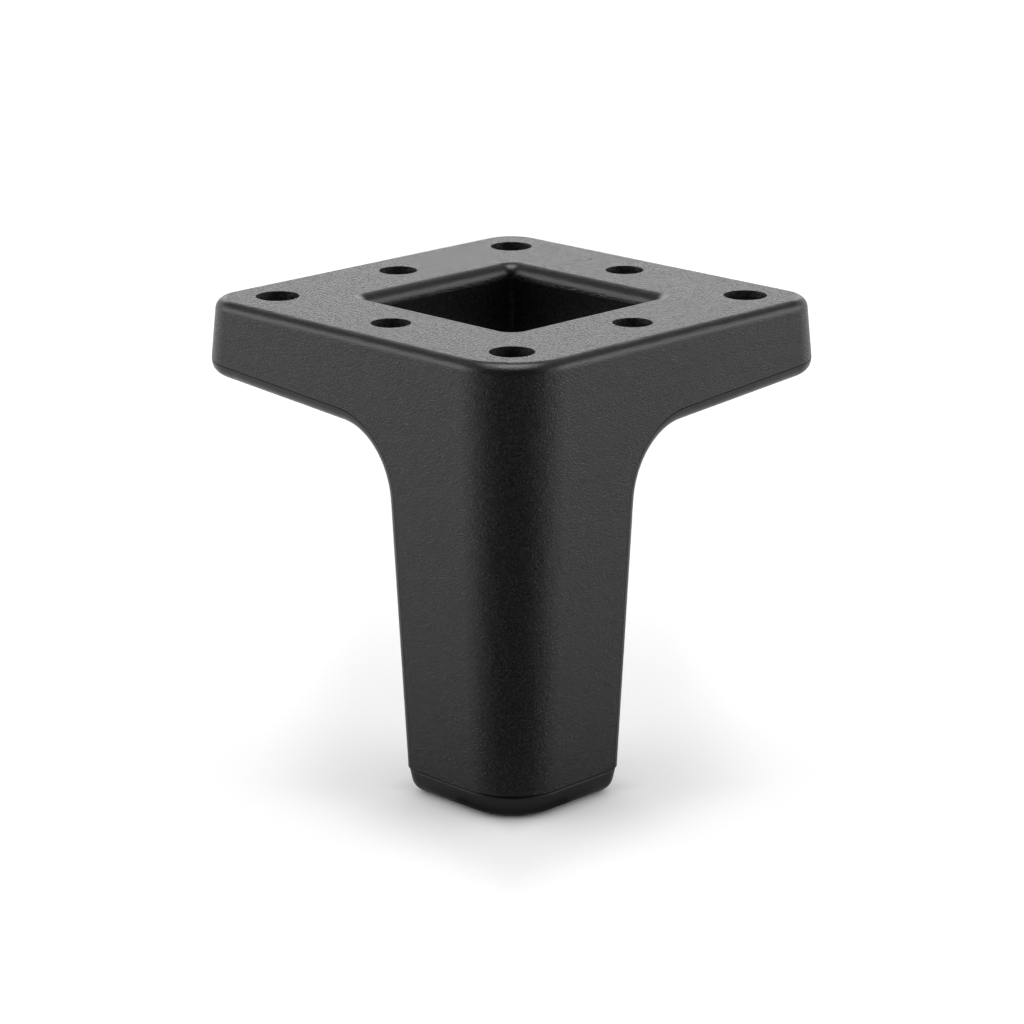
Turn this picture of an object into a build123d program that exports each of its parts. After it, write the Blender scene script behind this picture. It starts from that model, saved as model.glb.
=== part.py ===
from build123d import *
import os
from math import tan, radians

# Corner foot for furniture, moulded in one piece: a square mounting plate with a leg under its front
# corner. The origin is the centre of the mounting face, +Z points up into the furniture, and the leg
# stands under the corner at +X, -Y.

# Plate and outer faces
plate_side = 61.5            # width of the mounting face, before its edges are rounded
foot_height = 60.2           # mounting face to floor
face_draft = 4.0             # degrees that the outer faces lean out towards the floor
front_corner_radius = 10.0   # upright edge where the leg's two faces meet, at the mounting face
front_base_radius = 8.0      # the same edge at the floor
plate_corner_radius = 5.8    # the plate's other three upright edges
top_edge_radius = 1.7        # round between the mounting face and the outer faces

# Underside of the plate and the leg below it
plate_edge_thickness = 10.65 # plate at the two edges far from the leg
underside_slope = 3.6        # degrees that the underside falls towards the leg
leg_top_width = 24.75        # leg at the plate's underside, without its flare
leg_base_width = 20.75       # leg at the floor, without the base's round
flare_radius = 10.7          # sweep from the underside into the leg

# Mould line: a fine groove. The surfaces above it are grained, and those below it stand back a little
mould_step = 0.05            # how far the lower half stands back
rim_height = 2.1             # mould line above the plate's underside
leg_rim = 1.85               # mould line in from the leg's sides
rim_radius = 2.0             # round of the lower edges
groove_width = 0.15
groove_depth = 0.2           # behind the lower half's surface

# Base of the leg, below the mould line
base_height = 3.45
base_step = 0.05             # how far the base stands back
base_draft = 9.0             # degrees that its sides lean in towards the floor
base_edge_radius = 2.2       # round of the bottom edge
base_top_radius = 0.3        # round of the edge at the mould line
base_corner_radius = 2.4     # upright edges away from the front corner

# Square opening through the plate
opening_side = 29.0          # between the lip's upright walls
opening_corner_radius = 1.2
lower_corner_radius = 0.7    # the same corners below the mould line
lip_radius = 2.0             # round of the lip at the mounting face
lip_depth = 2.08             # mould line inside the opening, below the mounting face
opening_step = 0.18          # how far the walls below that line stand into the opening

# Screw holes: one at each corner and one at the middle of each side
hole_spacing = 46.0
corner_hole_diameter = 6.1
side_hole_diameter = 5.5
front_hole_depth = 14.0      # the hole over the leg is blind

lean = tan(radians(face_draft))
slope = tan(radians(underside_slope))
seam_depth = foot_height - base_height
diagonal = Plane((0, 0, 0), z_dir=(1, 1, 0))    # the foot is its own mirror image across this plane
reach = plate_side + foot_height    # longer than any cut has to be


def half_side(depth):
    """Half the outer width at a depth below the mounting face."""
    return plate_side / 2 + lean * depth


def front_radius(depth):
    """Radius of the front corner at a depth below the mounting face."""
    return front_corner_radius + (front_base_radius - front_corner_radius) * depth / foot_height


def underside_depth(x):
    """Depth of the plate's underside at a distance x from the plate's centre towards the leg."""
    return plate_edge_thickness + (x + half_side(plate_edge_thickness)) * slope


def square_post(side, corner_radius, top, bottom):
    """Upright square post with rounded corners between two depths."""
    outline = RectangleRounded(side, side, corner_radius)
    return Pos(0, 0, -bottom) * extrude(outline, amount=bottom - top)


def leaning_square(top_span, bottom_span, top, bottom):
    """Square block between two depths, whose span along X changes from one depth to the other."""
    upper = ((top_span[0], -top), (top_span[1], -top))
    lower = ((bottom_span[1], -bottom), (bottom_span[0], -bottom))
    slab = extrude(Plane.XZ * make_face(Polyline(*upper, *lower, close=True)), amount=reach, both=True)
    return slab & mirror(slab, about=diagonal)


def round_uprights(block, front_radius, other_radius):
    """Rounds the front corner's upright edge and the other three."""
    block = fillet(upright_edges(block)[-1:], front_radius)
    return fillet(upright_edges(block)[:3], other_radius)


def leaning_outline(inset, depth):
    """Square outline at a depth, moved in by an inset, with only its front corner rounded."""
    side = 2 * (half_side(depth) - inset)
    outline = Rectangle(side, side)
    front = outline.vertices().sort_by(lambda point: point.X - point.Y)[-1:]
    return Pos(0, 0, -depth) * fillet(front, front_radius(depth) - inset)


def leaning_block(inset, top, bottom):
    """Outer block between two depths, with leaning faces, rounded upright edges and an inset."""
    block = loft([leaning_outline(inset, bottom), leaning_outline(inset, top)], ruled=True)
    return fillet(upright_edges(block)[:3], plate_corner_radius - inset)


def upright_edges(block):
    """Upright edges of a block, from the back corner to the front corner over the leg."""
    upright = block.edges().filter_by(lambda edge: abs(edge.tangent_at(0.5).Z) > 0.5)
    return upright.sort_by(lambda edge: edge.center().X - edge.center().Y)


def leg_side_line(inset):
    """Line of the leg's inner side, moved in by an inset: its place at depth 0 and its slope."""
    top_depth = underside_depth(half_side(0) - leg_top_width)
    top = half_side(top_depth) - leg_top_width + inset
    bottom = half_side(foot_height) - leg_base_width + inset
    side_slope = (bottom - top) / (foot_height - top_depth)
    return top - side_slope * top_depth, side_slope


def lower_cut(rise, inset):
    """Everything under the plate on one side of the leg, as a sweep of its profile across the foot.

    The profile is the underside moved up by a rise and the leg's side moved in by an inset.
    """
    side_start, side_slope = leg_side_line(inset)
    meet_x = (side_start + side_slope * (underside_depth(0) - rise)) / (1 - side_slope * slope)
    meet = (meet_x, rise - underside_depth(meet_x))
    start = (-reach, rise - underside_depth(-reach))
    end = (side_start + side_slope * reach, -reach)
    profile = make_face(Polyline(start, meet, end, (-reach, -reach), close=True))
    inner = profile.vertices().sort_by_distance((meet[0], meet[1], 0))[:1]
    profile = fillet(inner, flare_radius + rise)
    return extrude(Plane.XZ * profile, amount=reach, both=True)


def carve(block, cut):
    """Takes a cut away on both sides of the leg, the second one mirrored across the foot's diagonal."""
    return block - cut - mirror(cut, about=diagonal)


def lower_opening():
    """Post that clears the opening below its mould line, down past the leg's inner corner."""
    return square_post(opening_side - 2 * opening_step, lower_corner_radius, lip_depth, reach)


def upper_half():
    """Grained body above the mould line, with its rounded top edges and the lip of the opening."""
    body = leaning_block(0, 0, seam_depth)
    body = fillet(body.faces().sort_by(Axis.Z)[-1].edges(), top_edge_radius)
    body = carve(body, lower_cut(rim_height, leg_rim))
    body = body - square_post(opening_side, opening_corner_radius, 0, lip_depth) - lower_opening()
    lip = body.faces().sort_by(Axis.Z)[-1].inner_wires()[0].edges()
    return fillet(lip, lip_radius)


def lower_half():
    """Smooth rim, underside and leg sides below the mould line, with rounded lower edges."""
    body = carve(leaning_block(mould_step, lip_depth, seam_depth), lower_cut(0, 0))
    core = leaning_block(rim_radius, 0, foot_height)
    carved = body.faces().sort_by(Axis.Z)[1:-1].filter_by(lambda face: core.is_inside(face.center()))
    rim = carved.edges().filter_by(lambda edge: not core.is_inside(edge.center()))
    return fillet(rim, rim_radius) - mould_groove() - lower_opening()


def mould_groove():
    """Shell round the lower half that ends a groove's width below the mould line."""
    shell = leaning_block(0, 0, foot_height) - leaning_block(mould_step + groove_depth, 0, foot_height)
    return carve(shell, lower_cut(rim_height - groove_width, leg_rim - groove_width))


def base():
    """Rounded base of the leg, standing back below the mould line, with a neck behind the groove."""
    side_start, side_slope = leg_side_line(base_step)
    inner = side_start + side_slope * seam_depth
    outer = half_side(seam_depth) - base_step
    top = seam_depth + groove_width
    shrink = (foot_height - top) * tan(radians(base_draft))
    block = leaning_square((inner, outer), (inner + shrink, outer - shrink), top, foot_height)
    block = round_uprights(block, front_radius(seam_depth) - base_step, base_corner_radius)
    block = fillet(block.faces().sort_by(Axis.Z)[0].edges(), base_edge_radius)
    block = fillet(block.faces().sort_by(Axis.Z)[-1].edges(), base_top_radius)
    neck_span = (inner + base_top_radius + groove_depth, outer - base_top_radius - groove_depth)
    neck = leaning_square(neck_span, neck_span, seam_depth - base_height, foot_height - base_height / 2)
    neck = round_uprights(neck, front_radius(seam_depth) - base_step, base_corner_radius)
    return block + neck - lower_opening()


def screw_holes():
    """Screw holes through the plate, and the blind one over the leg."""
    far = hole_spacing / 2
    holes = []
    for x in (-far, 0, far):
        for y in (-far, 0, far):
            if x or y:
                radius = (corner_hole_diameter if x and y else side_hole_diameter) / 2
                depth = front_hole_depth if x > 0 > y else reach
                holes.append(Pos(x, y, -depth) * extrude(Circle(radius), amount=depth))
    return holes


def foot():
    """The whole foot as one solid."""
    return upper_half() + lower_half() + base() - screw_holes()


if __name__ == "__main__":
    os.makedirs("parts", exist_ok=True)
    export_step(foot(), "parts/foot.step")
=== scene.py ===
"""Dresses the black corner foot for furniture: its moulded plastic, floor, studio light and camera."""

import logging
import math
from dataclasses import dataclass
from enum import Enum

import bmesh
import bpy
from mathutils import Matrix, Vector


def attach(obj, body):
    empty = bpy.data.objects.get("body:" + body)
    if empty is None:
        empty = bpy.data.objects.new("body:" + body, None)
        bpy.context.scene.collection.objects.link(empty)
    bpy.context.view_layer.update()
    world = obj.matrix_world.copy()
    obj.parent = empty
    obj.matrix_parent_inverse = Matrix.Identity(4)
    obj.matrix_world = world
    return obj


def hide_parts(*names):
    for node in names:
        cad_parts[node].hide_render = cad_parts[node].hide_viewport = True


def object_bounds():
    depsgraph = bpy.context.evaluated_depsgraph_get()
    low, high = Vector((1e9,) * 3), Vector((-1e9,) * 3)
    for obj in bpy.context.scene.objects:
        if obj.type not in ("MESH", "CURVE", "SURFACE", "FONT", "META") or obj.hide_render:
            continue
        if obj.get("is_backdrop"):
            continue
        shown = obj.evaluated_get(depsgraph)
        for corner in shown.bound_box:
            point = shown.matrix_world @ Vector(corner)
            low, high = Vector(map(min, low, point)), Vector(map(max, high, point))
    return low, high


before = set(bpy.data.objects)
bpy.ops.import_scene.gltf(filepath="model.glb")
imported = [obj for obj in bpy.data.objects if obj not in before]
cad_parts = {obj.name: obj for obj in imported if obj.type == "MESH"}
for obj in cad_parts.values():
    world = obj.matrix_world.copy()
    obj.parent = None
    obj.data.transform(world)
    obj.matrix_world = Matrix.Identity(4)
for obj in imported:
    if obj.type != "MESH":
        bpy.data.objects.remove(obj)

LOG = logging.getLogger("corner_foot")
PHOTO_PIXELS = 1024    # width of the photograph
FRONT_ROUND = 0.01     # radius of the leg's front corner, in metres
DISC_SIDES = 64        # straight sides of the floor and the card
NOISE_MIDDLE = 0.5     # mean level of a noise texture
WHITE = (1.0, 1.0, 1.0, 1.0)
BLACK = (0.0, 0.0, 0.0, 1.0)
UP = Vector((0.0, 0.0, 1.0))

Socket = bpy.types.NodeSocket
Tree = bpy.types.NodeTree


class MouldPart(Enum):
    """The part of the mould that shaped a surface: a half, the opening's core or the holes' pins."""

    GRAINED = "grained"
    SMOOTH = "smooth"
    CORED = "cored"
    PINNED = "pinned"


class Facing(Enum):
    """The way a surface faces, as a span of its normal's rise and the levels at the ends of that span."""

    UP = ((0.985, 0.9995), (0.0, 1.0))
    SIDE = ((0.1, 0.3), (1.0, 0.0))


class LampSide(Enum):
    """Where a softbox stands, as degrees round the foot from the camera's own direction."""

    LEFT = -90.0
    RIGHT = 90.0
    BACK = 180.0
    ABOVE = 0.0


@dataclass
class NodeBoard:
    """Short ways to add and join nodes in one tree.

    Args:
        tree: the node tree that the nodes go into.
    """

    tree: Tree

    def add(self, kind: str, **settings: object) -> bpy.types.Node:
        """Adds a node.

        Args:
            kind: the node's type name.
            settings: properties of the node, by name.

        Returns:
            The new node.
        """
        node = self.tree.nodes.new(kind)
        for name, value in settings.items():
            setattr(node, name, value)
        return node

    def join(self, source: Socket, target: Socket) -> None:
        """Joins an output to an input."""
        self.tree.links.new(source, target)

    def feed(self, target: Socket, value: Socket | float) -> None:
        """Joins an output to an input, or sets the input to a number."""
        if isinstance(value, Socket):
            self.join(value, target)
        else:
            target.default_value = value

    def math(self, operation: str, *values: Socket | float) -> Socket:
        """Adds a Math node.

        Args:
            operation: the operation's name.
            values: one to three outputs or numbers.

        Returns:
            The node's output.
        """
        node = self.add("ShaderNodeMath", operation=operation)
        for socket, value in zip(node.inputs, values):
            self.feed(socket, value)
        return node.outputs[0]

    def dot(self, vector: Socket, direction: Vector) -> Socket:
        """Adds a dot product of a vector with a fixed direction and returns its output."""
        node = self.add("ShaderNodeVectorMath", operation="DOT_PRODUCT")
        self.join(vector, node.inputs[0])
        node.inputs[1].default_value = direction
        return node.outputs["Value"]

    def facing(self, way: Facing) -> Socket:
        """Adds how much the surface faces one way, from 0 to 1, and returns it."""
        rise = self.dot(self.add("ShaderNodeNewGeometry").outputs["Normal"], UP)
        return self.ramp(rise, *way.value)

    def seen(self) -> Socket:
        """Adds a test for rays that show a surface, also in a mirror or through glass, and returns it."""
        rays = self.add("ShaderNodeLightPath").outputs
        shown = self.math("MAXIMUM", rays["Is Camera Ray"], rays["Is Glossy Ray"])
        return self.math("MAXIMUM", shown, rays["Is Transmission Ray"])

    def ramp(self, value: Socket, span: tuple[float, float], levels: tuple[float, float]) -> Socket:
        """Adds a smooth change from one level to another.

        Args:
            value: the output that drives the change.
            span: where the change starts and ends.
            levels: the level before the span and the one after it.

        Returns:
            The node's output.
        """
        node = self.add("ShaderNodeMapRange", interpolation_type="SMOOTHSTEP")
        self.join(value, node.inputs["Value"])
        node.inputs["From Min"].default_value, node.inputs["From Max"].default_value = span
        node.inputs["To Min"].default_value, node.inputs["To Max"].default_value = levels
        return node.outputs["Result"]

    def grades(self, value: Socket, levels: tuple[tuple[float, float], ...]) -> Socket:
        """Adds a change through several levels.

        Args:
            value: the output that drives the change, from 0 to 1.
            levels: places along the change, each with its level.

        Returns:
            The node's output.
        """
        node = self.add("ShaderNodeValToRGB")
        self.join(value, node.inputs["Fac"])
        stops = node.color_ramp.elements
        while len(stops) < len(levels):
            stops.new(1.0)
        for stop, (position, level) in zip(stops, levels):
            stop.position, stop.color = position, (level, level, level, 1.0)
        return node.outputs["Color"]


def new_material(name: str) -> tuple[bpy.types.Material, NodeBoard, bpy.types.Node]:
    """Makes a material that holds one Principled shader.

    Args:
        name: the material's name.

    Returns:
        The material, a board for its nodes, and its shader.
    """
    material = bpy.data.materials.new(name)
    material.use_nodes = True
    board = NodeBoard(material.node_tree)
    return material, board, material.node_tree.nodes["Principled BSDF"]


@dataclass(frozen=True)
class Relief:
    """One layer of fine unevenness, everywhere or only on surfaces that face one way.

    Sizes are in metres.
    """

    size: float
    height: float
    facing: Facing | None = None

    def build(self, board: NodeBoard, place: Socket, under: Socket | None) -> Socket:
        """Adds the layer.

        Args:
            board: the material's nodes.
            place: the coordinates that the layer follows.
            under: the normal of the layer below, if there is one.

        Returns:
            The layer's normal.
        """
        noise = board.add("ShaderNodeTexNoise")
        board.join(place, noise.inputs["Vector"])
        noise.inputs["Scale"].default_value = 1.0 / self.size
        noise.inputs["Detail"].default_value = 0.0
        height = noise.outputs["Fac"]
        if self.facing is not None:
            centred = board.math("SUBTRACT", height, NOISE_MIDDLE)
            height = board.math("MULTIPLY", centred, board.facing(self.facing))
        bump = board.add("ShaderNodeBump")
        bump.inputs["Distance"].default_value = self.height
        board.join(height, bump.inputs["Height"])
        if under is not None:
            board.join(under, bump.inputs["Normal"])
        return bump.outputs["Normal"]


@dataclass(frozen=True)
class MouldedPlastic:
    """Black plastic as it leaves one part of the mould.

    Sizes are in metres. The glint span is the part of the noise over which a painted glint brightens: a light
    speck painted into the colour where the grain would catch the light.
    """

    part: MouldPart
    colour: tuple[float, float, float]
    painted_glint_colour: tuple[float, float, float]
    painted_glint_size: float
    roughness: float
    refraction: float
    reliefs: tuple[Relief, ...]
    edge_roughness: float | None = None
    painted_glint_span: tuple[float, float] = (0.42, 0.78)

    def build(self) -> bpy.types.Material:
        """Makes the material, with painted glints in its colour and its grain as bump.

        Returns:
            The material.
        """
        material, board, shader = new_material(f"plastic_{self.part.value}")
        shader.inputs["Roughness"].default_value = self.roughness
        if self.edge_roughness is not None:
            board.join(self.dulled(board, self.edge_roughness), shader.inputs["Roughness"])
        shader.inputs["IOR"].default_value = self.refraction
        place = board.add("ShaderNodeTexCoord").outputs["Object"]
        # painted glints: the base colour holds lighter specks in place of the grain catching the light
        board.join(self.painted_glints(board, place), shader.inputs["Base Color"])
        normal = None
        for relief in self.reliefs:
            normal = relief.build(board, place, normal)
        board.join(normal, shader.inputs["Normal"])
        return material

    def dulled(self, board: NodeBoard, edge_roughness: float) -> Socket:
        """Adds the roughness, which grows on the rounded edges between level and upright surfaces.

        Args:
            board: the material's nodes.
            edge_roughness: the roughness of those edges.

        Returns:
            The roughness.
        """
        flat = board.math("MAXIMUM", board.facing(Facing.SIDE), board.facing(Facing.UP))
        return board.math("MULTIPLY_ADD", flat, self.roughness - edge_roughness, edge_roughness)

    def painted_glints(self, board: NodeBoard, place: Socket) -> Socket:
        """Adds the colour: black, with painted glints, lighter specks that stand in for the grain's tips
        catching the light.

        Args:
            board: the material's nodes.
            place: the coordinates that the painted glints follow.

        Returns:
            The colour.
        """
        noise = board.add("ShaderNodeTexNoise")
        board.join(place, noise.inputs["Vector"])
        noise.inputs["Scale"].default_value = 1.0 / self.painted_glint_size
        noise.inputs["Detail"].default_value = 1.0
        # painted glints: the noise's high tips lighten the black towards the glint colour
        tips = board.add("ShaderNodeValToRGB")
        board.join(noise.outputs["Fac"], tips.inputs["Fac"])
        low, high = tips.color_ramp.elements
        low.position, high.position = self.painted_glint_span
        low.color = (*self.colour, 1.0)
        high.color = (*self.painted_glint_colour, 1.0)
        return tips.outputs["Color"]


@dataclass
class CornerFoot:
    """The moulded foot, with its grain above the mould line and a smooth finish below it.

    Sizes are in metres, and angles in degrees. The screw holes stand on a square grid of one pitch.
    """

    node: str = "foot"
    slot: str = "black_plastic"
    piece_name: str = "corner_foot"
    weld: float = 1e-6
    crease: float = 25.0
    mounting_spot: tuple[float, float, float] = (-0.0115, 0.023, 0.0)
    # the speck colours are painted glints: lighter specks that stand in for the grain catching the light
    grained: MouldedPlastic = MouldedPlastic(
        part=MouldPart.GRAINED, colour=(0.001, 0.001, 0.001), painted_glint_colour=(0.018, 0.018, 0.0183),
        painted_glint_size=0.0002, roughness=0.25, edge_roughness=0.34, refraction=1.45,
        reliefs=(Relief(size=0.0018, height=0.00003),
                 Relief(size=0.0002, height=0.00003),
                 Relief(size=0.0002, height=0.00005, facing=Facing.SIDE),
                 Relief(size=0.0003, height=0.00025, facing=Facing.UP)))
    smooth: MouldedPlastic = MouldedPlastic(
        part=MouldPart.SMOOTH, colour=(0.0012, 0.0012, 0.0012), painted_glint_colour=(0.006, 0.006, 0.0061),
        painted_glint_size=0.0002, roughness=0.25, edge_roughness=0.55, refraction=1.46,
        reliefs=(Relief(size=0.0022, height=0.00004), Relief(size=0.0002, height=0.00002)))
    cored: MouldedPlastic = MouldedPlastic(
        part=MouldPart.CORED, colour=(0.003, 0.003, 0.003), painted_glint_colour=(0.012, 0.012, 0.0122),
        painted_glint_size=0.0004, roughness=0.35, refraction=1.2,
        reliefs=(Relief(size=0.0004, height=0.00004),))
    # painted light: the holes' plastic is about ten times lighter than the smooth plastic, so the screw
    # holes' walls look lit
    pinned: MouldedPlastic = MouldedPlastic(
        part=MouldPart.PINNED, colour=(0.012, 0.012, 0.012), painted_glint_colour=(0.05, 0.05, 0.051),
        painted_glint_size=0.00045, roughness=0.4, refraction=1.46,
        reliefs=(Relief(size=0.0004, height=0.00008),))
    opening_reach: float = 0.0148
    hole_pitch: float = 0.023
    hole_reach: float = 0.0033
    hole_start: float = 0.00165

    def build(self) -> bpy.types.Object:
        """Makes the dressed foot in place of the plain one.

        Returns:
            The finished piece.
        """
        piece = self.bare_copy()
        modifier = piece.modifiers.new("mould_parts", "NODES")
        modifier.node_group = self.mould_parts()
        polish = piece.modifiers.new("flat_faces", "WEIGHTED_NORMAL")
        polish.keep_sharp = True
        view = bpy.context.evaluated_depsgraph_get()
        finished = bpy.data.meshes.new_from_object(
            piece.evaluated_get(view), preserve_all_data_layers=True, depsgraph=view)
        piece.modifiers.clear()
        piece.data = finished
        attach(piece, "root")
        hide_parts(self.node)
        return piece

    def bare_copy(self) -> bpy.types.Object:
        """Copies the plain foot without its materials and split normals.

        Returns:
            The copy, at the origin.
        """
        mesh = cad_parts[self.node].data.copy()
        mesh.name = self.piece_name
        mesh.materials.clear()
        for name in ("custom_normal", "sharp_edge", "sharp_face"):
            if name in mesh.attributes:
                mesh.attributes.remove(mesh.attributes[name])
        piece = bpy.data.objects.new(self.piece_name, mesh)
        bpy.context.scene.collection.objects.link(piece)
        return piece

    def mould_parts(self) -> Tree:
        """Makes the tree that tells the parts of the mould apart and gives each surface its plastic.

        The grain covers whatever joins the mounting face without a crease, so it ends at the mould line.

        Returns:
            The tree.
        """
        tree = bpy.data.node_groups.new("mould_parts", "GeometryNodeTree")
        tree.is_modifier = True
        tree.interface.new_socket("Geometry", in_out="INPUT", socket_type="NodeSocketGeometry")
        for name, value in (("Weld", self.weld), ("Crease", math.radians(self.crease))):
            socket = tree.interface.new_socket(name, in_out="INPUT", socket_type="NodeSocketFloat")
            socket.default_value = value
        spot = tree.interface.new_socket("Mounting Spot", in_out="INPUT", socket_type="NodeSocketVector")
        spot.default_value = self.mounting_spot
        tree.interface.new_socket("Geometry", in_out="OUTPUT", socket_type="NodeSocketGeometry")
        board = NodeBoard(tree)
        given = board.add("NodeGroupInput").outputs
        welded = self.welded(board, given["Geometry"], given["Weld"])
        creased = board.add("FunctionNodeCompare", data_type="FLOAT", operation="GREATER_THAN")
        angle = board.add("GeometryNodeInputMeshEdgeAngle")
        board.join(angle.outputs["Unsigned Angle"], creased.inputs["A"])
        board.join(given["Crease"], creased.inputs["B"])
        split = board.add("GeometryNodeSplitEdges")
        board.join(welded, split.inputs["Mesh"])
        board.join(creased.outputs["Result"], split.inputs["Selection"])
        grained = self.same_island(board, split.outputs["Mesh"], given["Mounting Spot"])
        marked = board.add("GeometryNodeStoreNamedAttribute", data_type="BOOLEAN", domain="FACE")
        marked.inputs["Name"].default_value = MouldPart.GRAINED.value
        board.join(split.outputs["Mesh"], marked.inputs["Geometry"])
        board.join(grained, marked.inputs["Value"])
        whole = self.welded(board, marked.outputs["Geometry"], given["Weld"])
        shaded = self.shaded(board, whole, given["Crease"])
        realized = board.add("GeometryNodeRealizeInstances")
        board.join(shaded, realized.inputs["Geometry"])
        dressed = self.dressed(board, realized.outputs["Geometry"])
        board.join(dressed, board.add("NodeGroupOutput").inputs["Geometry"])
        return tree

    def welded(self, board: NodeBoard, mesh: Socket, distance: Socket) -> Socket:
        """Merges the points that lie within a distance and returns the mesh."""
        merge = board.add("GeometryNodeMergeByDistance")
        board.join(mesh, merge.inputs["Geometry"])
        board.join(distance, merge.inputs["Distance"])
        return merge.outputs["Geometry"]

    def same_island(self, board: NodeBoard, mesh: Socket, spot: Socket) -> Socket:
        """Finds the faces that lie on one island with the face at a spot.

        Args:
            board: the tree's nodes.
            mesh: the mesh, split into islands.
            spot: a point on the island that is sought.

        Returns:
            True on those faces.
        """
        island = board.add("GeometryNodeInputMeshIsland").outputs["Island Index"]
        nearest = board.add("GeometryNodeSampleNearest", domain="FACE")
        board.join(mesh, nearest.inputs["Geometry"])
        board.join(spot, nearest.inputs["Sample Position"])
        sample = board.add("GeometryNodeSampleIndex", data_type="INT", domain="FACE")
        board.join(mesh, sample.inputs["Geometry"])
        board.join(island, sample.inputs["Value"])
        board.join(nearest.outputs["Index"], sample.inputs["Index"])
        same = board.add("FunctionNodeCompare", data_type="INT", operation="EQUAL")
        first, second = same.inputs[2:4]    # its inputs for whole numbers
        board.join(island, first)
        board.join(sample.outputs["Value"], second)
        return same.outputs["Result"]

    def shaded(self, board: NodeBoard, mesh: Socket, crease: Socket) -> Socket:
        """Smooths the shading of every face, apart from edges past the crease angle, and returns the mesh."""
        faces = board.add("GeometryNodeSetShadeSmooth", domain="FACE")
        board.join(mesh, faces.inputs["Geometry"])
        gentle = board.add("FunctionNodeCompare", data_type="FLOAT", operation="LESS_EQUAL")
        board.join(board.add("GeometryNodeInputMeshEdgeAngle").outputs["Unsigned Angle"], gentle.inputs["A"])
        board.join(crease, gentle.inputs["B"])
        edges = board.add("GeometryNodeSetShadeSmooth", domain="EDGE")
        board.join(faces.outputs["Geometry"], edges.inputs["Geometry"])
        board.join(gentle.outputs["Result"], edges.inputs["Shade Smooth"])
        return edges.outputs["Geometry"]

    def place(self, board: NodeBoard) -> tuple[Socket, Socket, Socket]:
        """Adds the place of each face's middle and returns its three coordinates."""
        place = board.add("ShaderNodeSeparateXYZ")
        board.join(board.add("GeometryNodeInputPosition").outputs["Position"], place.inputs["Vector"])
        return place.outputs["X"], place.outputs["Y"], place.outputs["Z"]

    def in_opening(self, board: NodeBoard) -> Socket:
        """Finds the faces within the square opening.

        Args:
            board: the tree's nodes.

        Returns:
            True on those faces.
        """
        across, along, _ = self.place(board)
        away = board.math("MAXIMUM", board.math("ABSOLUTE", across), board.math("ABSOLUTE", along))
        return board.math("LESS_THAN", away, self.opening_reach)

    def in_holes(self, board: NodeBoard) -> Socket:
        """Finds the faces near a screw hole's axis and below the mounting face.

        Each face is measured from the nearest point of the holes' grid.

        Args:
            board: the tree's nodes.

        Returns:
            True on those faces.
        """
        *level, height = self.place(board)
        steps = [board.math("DIVIDE", value, self.hole_pitch) for value in level]
        away = [board.math("SUBTRACT", step, board.math("ROUND", step)) for step in steps]
        squares = board.math("MULTIPLY_ADD", away[0], away[0], board.math("MULTIPLY", away[1], away[1]))
        near = board.math("LESS_THAN", squares, (self.hole_reach / self.hole_pitch) ** 2)
        return board.math("MULTIPLY", near, board.math("LESS_THAN", height, -self.hole_start))

    def dressed(self, board: NodeBoard, mesh: Socket) -> Socket:
        """Gives each surface the plastic of its mould part and returns the mesh."""
        mark = board.add("GeometryNodeInputNamedAttribute", data_type="BOOLEAN")
        mark.inputs["Name"].default_value = MouldPart.GRAINED.value
        # the plastic of the holes is painted lighter, so their walls look lit
        layers = ((self.smooth, None), (self.cored, self.in_opening(board)),
                  (self.pinned, self.in_holes(board)), (self.grained, mark.outputs["Attribute"]))
        for plastic, faces in layers:
            layer = board.add("GeometryNodeSetMaterial")
            layer.inputs["Material"].default_value = plastic.build()
            board.join(mesh, layer.inputs["Geometry"])
            if faces is not None:
                board.join(faces, layer.inputs["Selection"])
            mesh = layer.outputs["Geometry"]
        return mesh


@dataclass
class PhotoCamera:
    """The camera at the photograph's place, found from the screw holes.

    Sizes are in metres, and angles in degrees.
    """

    eye: tuple[float, float, float] = (0.3303, -0.3312, 0.1077)
    azimuth: float = 44.92
    pitch: float = 16.563
    roll: float = -0.09
    focal_pixels: float = 3443.0

    def towards_eye(self) -> Vector:
        """Level direction from the foot to the camera."""
        turn = math.radians(self.azimuth)
        return Vector((math.sin(turn), -math.cos(turn), 0.0))

    def build(self) -> bpy.types.Object:
        """Makes the camera and hands it to the scene.

        Returns:
            The camera.
        """
        lens = bpy.data.cameras.new("photo_camera")
        lens.sensor_fit = "HORIZONTAL"
        lens.lens = self.focal_pixels * lens.sensor_width / PHOTO_PIXELS
        camera = bpy.data.objects.new("photo_camera", lens)
        bpy.context.scene.collection.objects.link(camera)
        rise = math.radians(self.pitch)
        back = self.towards_eye() * math.cos(rise) + UP * math.sin(rise)
        right = UP.cross(back).normalized()
        level = Matrix((right, back.cross(right), back)).transposed().to_4x4()
        tilt = Matrix.Rotation(math.radians(self.roll), 4, "Z")
        camera.matrix_world = Matrix.Translation(self.eye) @ level @ tilt
        bpy.context.scene.camera = camera
        return camera


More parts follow.
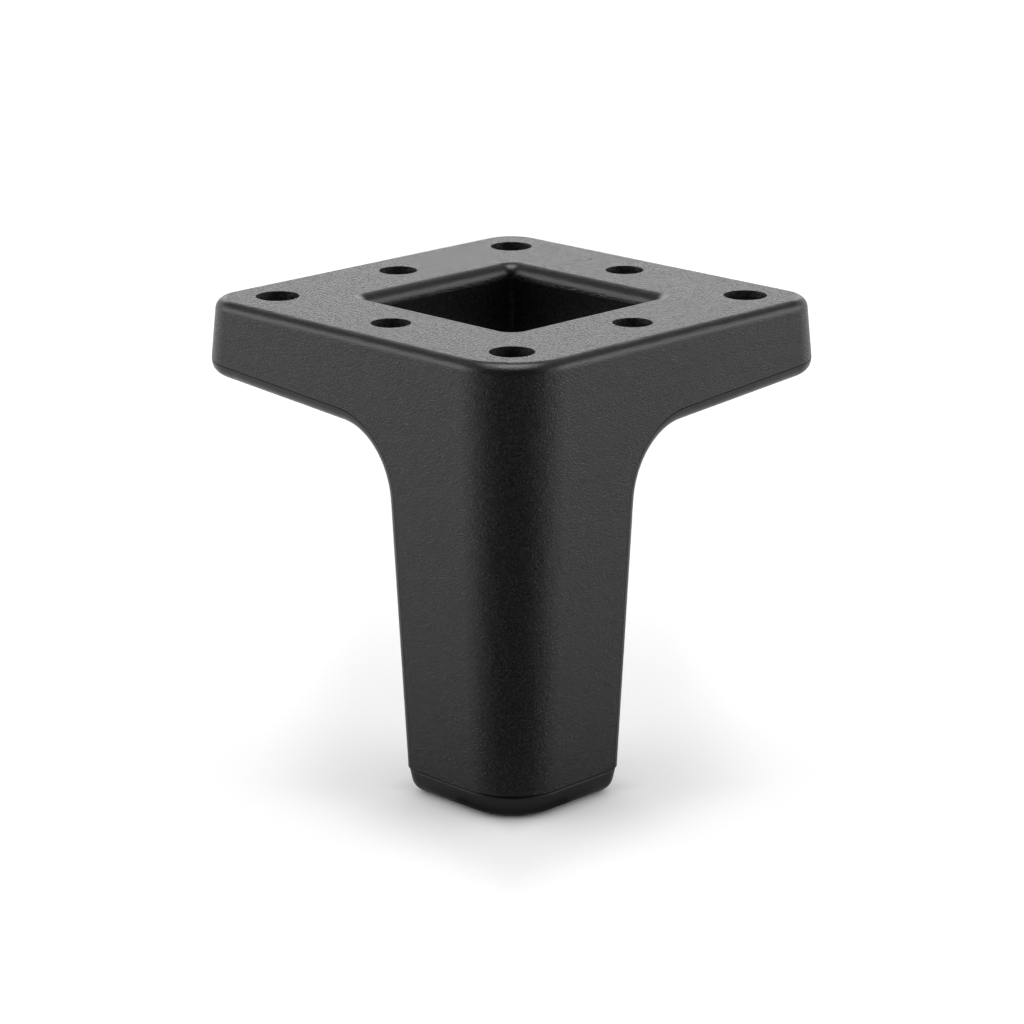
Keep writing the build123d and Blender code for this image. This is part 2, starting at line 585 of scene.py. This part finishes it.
@dataclass(frozen=True)
class Softbox:
    """A soft lamp that faces the foot and gives it its gloss. Sizes are in metres, and angles in degrees."""

    side: LampSide
    elevation: float
    distance: float
    width: float
    height: float
    radiance: float

    def build(self, towards_eye: Vector) -> bpy.types.Object:
        """Makes the lamp.

        Args:
            towards_eye: level direction from the foot to the camera.

        Returns:
            The lamp.
        """
        data = bpy.data.lights.new(f"softbox_{self.side.name.lower()}", "AREA")
        data.shape = "RECTANGLE"
        data.size = self.width
        data.size_y = self.height
        data.energy = self.radiance * math.pi * self.width * self.height
        lamp = bpy.data.objects.new(data.name, data)
        bpy.context.scene.collection.objects.link(lamp)
        lift = math.radians(self.elevation)
        level = Matrix.Rotation(math.radians(self.side.value), 3, "Z") @ towards_eye
        away = level * math.cos(lift) + UP * math.sin(lift)
        turn = away.to_track_quat("Z", "Y").to_matrix().to_4x4()
        lamp.matrix_world = Matrix.Translation(away * self.distance) @ turn
        lamp.visible_camera = False
        lamp.visible_diffuse = False
        return lamp


def lay_disc(name: str, middle: Vector, radius: float, material: bpy.types.Material) -> bpy.types.Object:
    """Lays a level disc of one material.

    Args:
        name: the disc's name.
        middle: its middle.
        radius: its radius.
        material: its material.

    Returns:
        The disc.
    """
    mesh = bpy.data.meshes.new(name)
    shape = bmesh.new()
    bmesh.ops.create_circle(shape, cap_ends=True, segments=DISC_SIDES, radius=radius,
                            matrix=Matrix.Translation(middle))
    shape.to_mesh(mesh)
    shape.free()
    mesh.materials.append(material)
    disc = bpy.data.objects.new(name, mesh)
    bpy.context.scene.collection.objects.link(disc)
    return disc


@dataclass
class Studio:
    """The pale floor with its painted shadow, the dim room, the softboxes and the graded card of painted
    reflections that the foot mirrors.

    Sizes are in metres, and angles in degrees.
    """

    floor_radius: float = 8.0
    floor_colour: tuple[float, float, float] = (0.9, 0.9, 0.9)
    # near and side glow: the floor's glow is taken away by the leg, a painted shadow
    near_glow: float = 0.1
    near_glow_span: tuple[float, float] = (0.013, 0.019)
    side_glow: float = 0.13
    side_glow_span: tuple[float, float] = (0.02, 0.038)
    front_share: float = 0.8
    ambient_level: float = 2.95
    ambient_top_level: float = 0.8
    ambient_fade: tuple[float, float] = (0.3, 0.75)
    room_level: float = 1.0
    room_top_level: float = 0.3
    room_fade: tuple[float, float] = (0.32, 0.6)
    front_level: float = 0.03
    front_fade: tuple[float, float] = (0.2, 0.75)
    card_radius: float = 0.6
    card_rise: float = 0.0004
    leg_depth: float = 0.012
    # painted reflection: the card's glow by distance from the leg, dim by the leg as a painted shadow and
    # dark before it
    card_levels: tuple[tuple[float, float], ...] = (
        (0.017, 0.06), (0.024, 0.36), (0.06, 0.55), (0.12, 0.72), (0.24, 0.87), (0.44, 0.94), (1.0, 0.96))
    card_front_levels: tuple[tuple[float, float], ...] = (
        (0.019, 0.04), (0.025, 0.46), (0.06, 0.27), (0.12, 0.22), (0.24, 0.16), (0.44, 0.06), (1.0, 0.02))
    card_front_fade: tuple[float, float] = (0.64, 0.72)
    card_front_taper: float = 0.12
    card_right_level: float = 0.92
    card_right_span: tuple[float, float] = (-0.3, 0.3)
    softboxes: tuple[Softbox, ...] = (
        Softbox(LampSide.LEFT, elevation=20.0, distance=1.6, width=1.2, height=0.72, radiance=2.4),
        Softbox(LampSide.RIGHT, elevation=20.0, distance=1.6, width=1.2, height=0.72, radiance=2.4),
        Softbox(LampSide.BACK, elevation=21.0, distance=1.6, width=1.4, height=0.48, radiance=2.0),
        Softbox(LampSide.ABOVE, elevation=89.0, distance=1.2, width=0.72, height=0.72, radiance=7.5),
    )

    def build(self, floor_height: float, leg_front: Vector, towards_eye: Vector) -> None:
        """Makes the studio round the foot.

        Args:
            floor_height: height of the floor.
            leg_front: the foot of the leg's front edge, on the floor.
            towards_eye: level direction from the foot to the camera.
        """
        leg_middle = leg_front - towards_eye * self.leg_depth
        self.floor(floor_height, leg_middle, towards_eye)
        self.card(leg_middle, towards_eye)
        self.room(towards_eye)
        for softbox in self.softboxes:
            LOG.info("lamp %s", softbox.build(towards_eye).name)

    def floor(self, height: float, middle: Vector, towards_eye: Vector) -> bpy.types.Object:
        """Lays the pale floor, which shows white beyond the foot's shadow and has a painted shadow by the
        leg, where its glow is taken away.

        Args:
            height: height of the floor.
            middle: the leg's middle, on the floor.
            towards_eye: level direction from the foot to the camera.

        Returns:
            The floor.
        """
        material, board, shader = new_material("pale_floor")
        shader.inputs["Base Color"].default_value = (*self.floor_colour, 1.0)
        shader.inputs["Roughness"].default_value = 1.0
        shader.inputs["Specular IOR Level"].default_value = 0.0
        shader.inputs["Emission Color"].default_value = WHITE
        board.join(self.glow_with_painted_shadow(board, middle, towards_eye), shader.inputs["Emission Strength"])
        floor = lay_disc("floor", UP * height, self.floor_radius, material)
        floor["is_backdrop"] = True
        return floor

    def glow_with_painted_shadow(self, board: NodeBoard, middle: Vector, towards_eye: Vector) -> Socket:
        """Adds the floor's glow, which is taken away by the leg and grows again at both sides: a painted
        shadow, darker by the leg and narrower than the lamps alone give.

        Args:
            board: the floor's nodes.
            middle: the leg's middle, on the floor.
            towards_eye: level direction from the foot to the camera.

        Returns:
            The brightness.
        """
        arm = self.arm(board, middle)
        aside = board.math("ABSOLUTE", board.dot(arm, UP.cross(towards_eye)))
        ahead = board.dot(arm, towards_eye)
        away = board.math("ADD", aside, board.math("ABSOLUTE", ahead))
        # painted shadow: the glow is zero by the leg and rises to near_glow beyond near_glow_span
        near = board.ramp(away, self.near_glow_span, (0.0, self.near_glow))
        outer = board.math("MULTIPLY_ADD", board.math("MAXIMUM", ahead, 0.0), self.front_share, aside)
        side = board.ramp(outer, self.side_glow_span, (0.0, self.side_glow))
        return board.math("MULTIPLY", board.seen(), board.math("ADD", near, side))

    def arm(self, board: NodeBoard, middle: Vector) -> Socket:
        """Adds the way from a middle to the shaded point and returns it."""
        arm = board.add("ShaderNodeVectorMath", operation="SUBTRACT")
        board.join(board.add("ShaderNodeTexCoord").outputs["Object"], arm.inputs[0])
        arm.inputs[1].default_value = middle
        return arm.outputs["Vector"]

    def card(self, middle: Vector, towards_eye: Vector) -> bpy.types.Object:
        """Lays a graded card on the floor, which only reflections see: a painted reflection, dim by the leg
        as a painted shadow and dark before it.

        Args:
            middle: the leg's middle, on the floor.
            towards_eye: level direction from the foot to the camera.

        Returns:
            The card.
        """
        material, board, shader = new_material("painted_reflection_card")
        shader.inputs["Base Color"].default_value = BLACK
        shader.inputs["Specular IOR Level"].default_value = 0.0
        shader.inputs["Emission Color"].default_value = WHITE
        # painted reflection: the card glows only for reflections, dim by the leg and dark before it
        board.join(self.card_level(board, middle, towards_eye), shader.inputs["Emission Strength"])
        card = lay_disc("painted_reflection_card", middle + UP * self.card_rise, self.card_radius, material)
        card.visible_camera = False
        card.visible_diffuse = False
        card.visible_shadow = False
        card.visible_transmission = False
        card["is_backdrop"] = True
        return card

    def card_level(self, board: NodeBoard, middle: Vector, towards_eye: Vector) -> Socket:
        """Adds the card's brightness, a painted reflection which rises away from the leg and stays dark
        towards the camera.

        Args:
            board: the card's nodes.
            middle: the card's middle.
            towards_eye: level direction from the foot to the camera.

        Returns:
            The brightness.
        """
        arm = self.arm(board, middle)
        length = board.add("ShaderNodeVectorMath", operation="LENGTH")
        board.join(arm, length.inputs[0])
        reach = board.math("DIVIDE", length.outputs["Value"], self.card_radius)
        way = board.add("ShaderNodeVectorMath", operation="NORMALIZE")
        board.join(arm, way.inputs[0])
        ahead = board.dot(way.outputs["Vector"], towards_eye)
        ahead = board.math("MULTIPLY_ADD", reach, -self.card_front_taper, ahead)
        sides = board.ramp(ahead, self.card_front_fade, (1.0, 0.0))
        right = board.dot(way.outputs["Vector"], UP.cross(towards_eye))
        level = board.ramp(right, self.card_right_span, (1.0, self.card_right_level))
        level = board.math("MULTIPLY", level, board.grades(reach, self.card_levels))
        front = board.grades(reach, self.card_front_levels)
        return board.math("MULTIPLY_ADD", sides, board.math("SUBTRACT", level, front), front)

    def room(self, towards_eye: Vector) -> None:
        """Lights the foot and the floor from a pale horizon that dims overhead and behind the lens.

        What the surfaces mirror is a plain room, and what lights them is a brighter horizon.

        Args:
            towards_eye: level direction from the foot to the camera.
        """
        world = bpy.data.worlds.new("room")
        world.use_nodes = True
        board = NodeBoard(world.node_tree)
        way = board.add("ShaderNodeTexCoord").outputs["Generated"]
        rise = board.dot(way, UP)
        ambient = board.ramp(rise, self.ambient_fade, (self.ambient_level, self.ambient_top_level))
        mirrored = board.ramp(rise, self.room_fade, (self.room_level, self.room_top_level))
        level = board.math("MULTIPLY_ADD", board.seen(), board.math("SUBTRACT", mirrored, ambient), ambient)
        front = board.ramp(board.dot(way, towards_eye), self.front_fade, (1.0, self.front_level))
        shader = world.node_tree.nodes["Background"]
        shader.inputs["Color"].default_value = WHITE
        board.join(board.math("MULTIPLY", level, front), shader.inputs["Strength"])
        bpy.context.scene.world = world


def main() -> None:
    """Builds the foot, the studio and the camera."""
    logging.basicConfig(level=logging.INFO, format="%(name)s: %(message)s")
    bpy.context.scene.view_settings.view_transform = "Standard"
    cad_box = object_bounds()
    low, high = cad_box
    piece = CornerFoot().build()
    LOG.info("%s: %d faces, %d materials", piece.name, len(piece.data.polygons), len(piece.data.materials))
    camera = PhotoCamera()
    LOG.info("camera %s", camera.build().name)
    towards_eye = camera.towards_eye()
    leg_front = Vector((high.x, low.y, low.z)) - towards_eye * FRONT_ROUND * (math.sqrt(2.0) - 1.0)
    Studio().build(low.z, leg_front, towards_eye)


if __name__ == "__main__":
    main()
